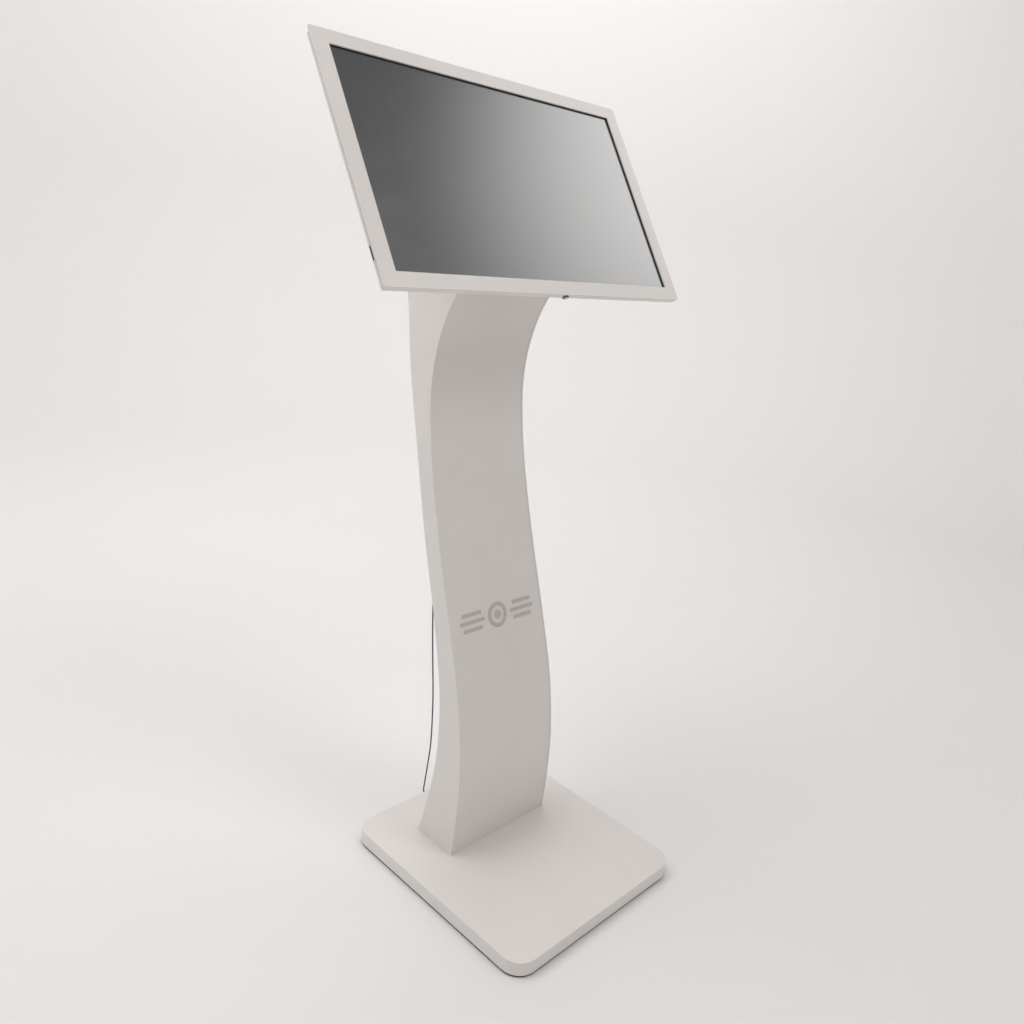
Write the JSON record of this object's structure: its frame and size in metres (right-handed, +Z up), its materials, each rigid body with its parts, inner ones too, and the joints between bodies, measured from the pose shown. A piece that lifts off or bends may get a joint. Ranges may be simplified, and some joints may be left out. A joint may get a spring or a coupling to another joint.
{
  "type": "touchscreen kiosk",
  "caption": "Free-standing information kiosk: a landscape touchscreen leaning back on an S-curved sheet-steel column over a weighted base with rounded corners.",
  "frame": {"origin": "floor level under the middle of the base", "axes": "+X to the right seen from the front, -Y towards the person using the screen, +Z up"},
  "size_m": [0.7622, 0.6012, 1.496],
  "materials": {
    "painted_steel": "satin",
    "zinc_plate": "satin",
    "plain_steel": "satin",
    "supply_case": "satin",
    "display_housing": "satin",
    "dark_metal": "satin",
    "emblem_paint": "satin",
    "foot_rubber": "matte",
    "gasket_rubber": "matte",
    "lead_jacket": "satin",
    "black_plastic": "matte",
    "circuit_board": "satin",
    "clear_plastic": "gloss",
    "screen_glass": "gloss"
  },
  "bodies": {
    "stand": {"base_pan": "painted_steel", "base_bottom_plate": "zinc_plate", "ballast_plate": "plain_steel", "rubber_feet": "foot_rubber", "base_screws": "zinc_plate", "column_side_left": "painted_steel", "column_side_right": "painted_steel", "column_front_panel": "painted_steel", "column_rear_panel": "painted_steel", "column_braces": "zinc_plate", "rear_panel_screws": "zinc_plate", "foot_plate": "plain_steel", "foot_bolts": "zinc_plate", "emblem": "emblem_paint", "neck_plate": "plain_steel", "neck_bolts": "zinc_plate", "neck_nuts": "zinc_plate", "mains_inlet": "black_plastic", "lead_grommet": "foot_rubber", "head_tray": "painted_steel", "mounting_plate": "plain_steel", "main_board": "circuit_board", "power_supply": "supply_case", "speakers": "black_plastic", "fan_housing": "black_plastic", "card_reader": "black_plastic", "lock_body": "dark_metal", "hinge_leaves_fixed": "zinc_plate", "hinge_pins": "plain_steel", "hinge_screws": "zinc_plate", "network_lead": "lead_jacket", "lead_coil": "lead_jacket", "lead_tail": "lead_jacket", "lead_tie": "black_plastic", "lead_plug": "clear_plastic"},
    "front": {"hinge_leaves_moving": "zinc_plate", "rail_top": "painted_steel", "rail_bottom": "painted_steel", "rail_left": "painted_steel", "rail_right": "painted_steel", "leg_top": "painted_steel", "leg_bottom": "painted_steel", "leg_left": "painted_steel", "leg_right": "painted_steel", "corner_keys": "zinc_plate", "glass_gasket": "gasket_rubber", "touch_glass": "screen_glass", "lcd_panel": "display_housing", "lcd_bars": "zinc_plate", "lcd_screws": "zinc_plate", "touch_controller": "circuit_board", "lock_catch": "zinc_plate"},
    "lock": {"lock_plug": "zinc_plate"},
    "fan": {"fan_rotor": "black_plastic"},
    "rocker": {"mains_rocker": "black_plastic"}
  },
  "joints": [
    {"name": "front_opening", "type": "hinge", "parent": "stand", "child": "front", "pos_m": [0, 0.31775, 1.48842], "axis": [-1, 0, 0], "range_deg": [0, 50]},
    {"name": "lock_turn", "type": "hinge", "parent": "stand", "child": "lock", "pos_m": [0.036, 0.08166, 1.11972], "axis": [0, 0.5446, 0.8387], "range_deg": [0, 180]},
    {"name": "fan_spin", "type": "hinge", "parent": "stand", "child": "fan", "pos_m": [-0.215, 0.29803, 1.39415], "axis": [0, 0.8387, -0.5446], "continuous": true},
    {"name": "rocker_tilt", "type": "hinge", "parent": "stand", "child": "rocker", "pos_m": [-0.013, 0.1135, 0.22], "axis": [1, 0, 0], "range_deg": [-24, 0]}
  ]
}
